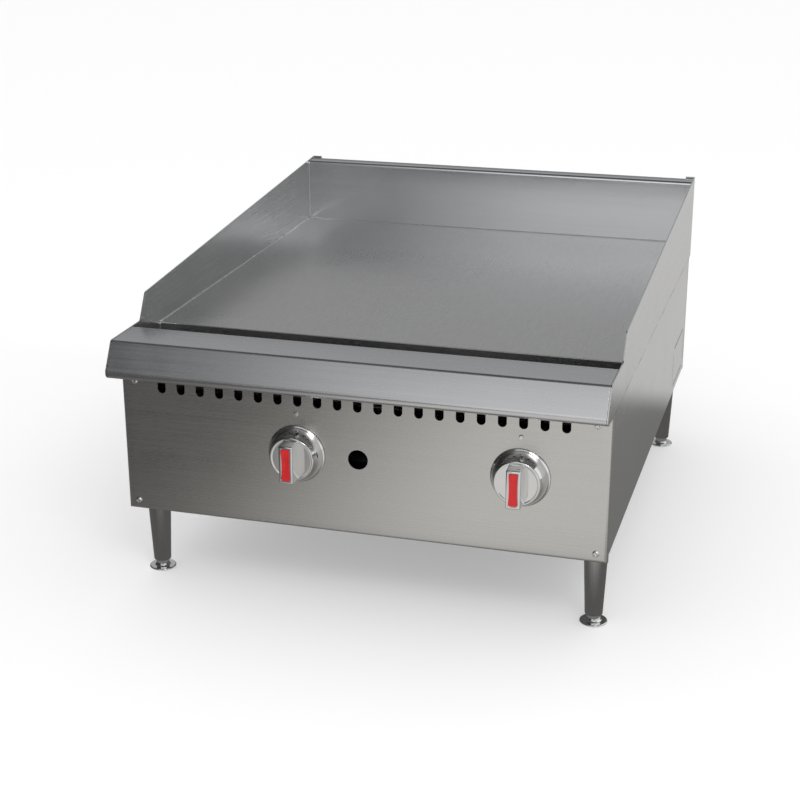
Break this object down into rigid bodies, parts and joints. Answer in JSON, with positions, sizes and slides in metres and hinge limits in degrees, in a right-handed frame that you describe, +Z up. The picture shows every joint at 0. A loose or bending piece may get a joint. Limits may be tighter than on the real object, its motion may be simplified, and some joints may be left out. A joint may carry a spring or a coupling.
{
  "type": "flat top griddle",
  "caption": "Countertop gas griddle: flat steel plate with splash guards and grease trough over U burners, turned on by front knobs, on levelling legs.",
  "frame": {"origin": "bottom centre of the bounding box, on the surface that the feet stand on", "axes": "+X to the right seen from the front, +Y to the back, +Z up"},
  "size_m": [0.61, 0.8072, 0.4074],
  "materials": {
    "panel_steel": "horizontal brushed stainless steel",
    "guard_steel": "brushed stainless steel",
    "rail_steel": "brushed stainless steel",
    "plate_steel": "ground and lightly seasoned carbon steel",
    "trough_steel": "brushed stainless steel",
    "galvanised": "galvanised or aluminised sheet",
    "knob_chrome": "polished chrome plate",
    "insert_red": "red moulded plastic",
    "leg_steel": "satin nickel plated steel",
    "foot_chrome": "bright plated steel",
    "burner_steel": "aluminised steel tube",
    "pipe_black": "black iron pipe",
    "brass": "machined brass",
    "fastener_steel": "bright zinc plated steel"
  },
  "bodies": {
    "body": {"back_splash": "guard_steel", "bottom_pan": "galvanised", "burner_orifices": "brass", "burner_rear_bracket": "galvanised", "drawer_runners": "galvanised", "front_baffle": "galvanised", "front_left_leg": "leg_steel", "front_panel": "panel_steel", "front_panel_screws": "fastener_steel", "front_rail": "rail_steel", "front_right_leg": "leg_steel", "gas_inlet_fitting": "pipe_black", "grease_chute": "trough_steel", "grease_trough": "trough_steel", "griddle_plate": "plate_steel", "knob_index_studs": "fastener_steel", "left_burner": "burner_steel", "left_heat_shield": "galvanised", "left_side_panel": "panel_steel", "left_splash_guard": "guard_steel", "left_valve_body": "brass", "leg_mount_plates": "galvanised", "leg_nuts": "fastener_steel", "manifold_pipe": "pipe_black", "manifold_plug": "pipe_black", "pilot_bracket": "galvanised", "pilot_heads": "brass", "pilot_tubes": "galvanised", "pilot_valves": "brass", "pipe_elbow": "pipe_black", "plate_support_angles": "galvanised", "radiant_shield": "galvanised", "rear_left_leg": "leg_steel", "rear_panel": "galvanised", "rear_panel_screws": "fastener_steel", "rear_right_leg": "leg_steel", "right_burner": "burner_steel", "right_heat_shield": "galvanised", "right_side_panel": "panel_steel", "right_splash_guard": "guard_steel", "right_valve_body": "brass", "supply_pipe": "pipe_black"},
    "left_knob": {"left_knob": "knob_chrome", "left_knob_insert": "insert_red", "left_valve_stem": "brass"},
    "right_knob": {"right_knob": "knob_chrome", "right_knob_insert": "insert_red", "right_valve_stem": "brass"},
    "left_air_shutter": {"left_air_shutter": "galvanised"},
    "right_air_shutter": {"right_air_shutter": "galvanised"},
    "grease_drawer": {"grease_drawer": "trough_steel"},
    "front_left_foot": {"front_left_foot": "foot_chrome"},
    "front_right_foot": {"front_right_foot": "foot_chrome"},
    "rear_left_foot": {"rear_left_foot": "foot_chrome"},
    "rear_right_foot": {"rear_right_foot": "foot_chrome"}
  },
  "joints": [
    {"name": "left_knob_turn", "type": "hinge", "parent": "body", "child": "left_knob", "pos_m": [-0.0775, -0.36138, 0.1985], "axis": [0, -1, 0], "range_deg": [0, 90]},
    {"name": "right_knob_turn", "type": "hinge", "parent": "body", "child": "right_knob", "pos_m": [0.199, -0.36138, 0.1985], "axis": [0, -1, 0], "range_deg": [0, 90]},
    {"name": "left_air_shutter_turn", "type": "hinge", "parent": "body", "child": "left_air_shutter", "pos_m": [-0.0775, -0.22738, 0.1985], "axis": [0, 1, 0], "range_deg": [0, 50]},
    {"name": "right_air_shutter_turn", "type": "hinge", "parent": "body", "child": "right_air_shutter", "pos_m": [0.199, -0.22738, 0.1985], "axis": [0, 1, 0], "range_deg": [0, 50]},
    {"name": "grease_drawer_slide", "type": "slide", "parent": "body", "child": "grease_drawer", "axis": [-1, 0, 0], "range_m": [0, 0.14]},
    {"name": "front_left_foot_screw", "type": "slide", "parent": "body", "child": "front_left_foot", "axis": [0, 0, -1], "range_m": [0, 0.02]},
    {"name": "front_right_foot_screw", "type": "slide", "parent": "body", "child": "front_right_foot", "axis": [0, 0, -1], "range_m": [0, 0.02]},
    {"name": "rear_left_foot_screw", "type": "slide", "parent": "body", "child": "rear_left_foot", "axis": [0, 0, -1], "range_m": [0, 0.02]},
    {"name": "rear_right_foot_screw", "type": "slide", "parent": "body", "child": "rear_right_foot", "axis": [0, 0, -1], "range_m": [0, 0.02]}
  ]
}
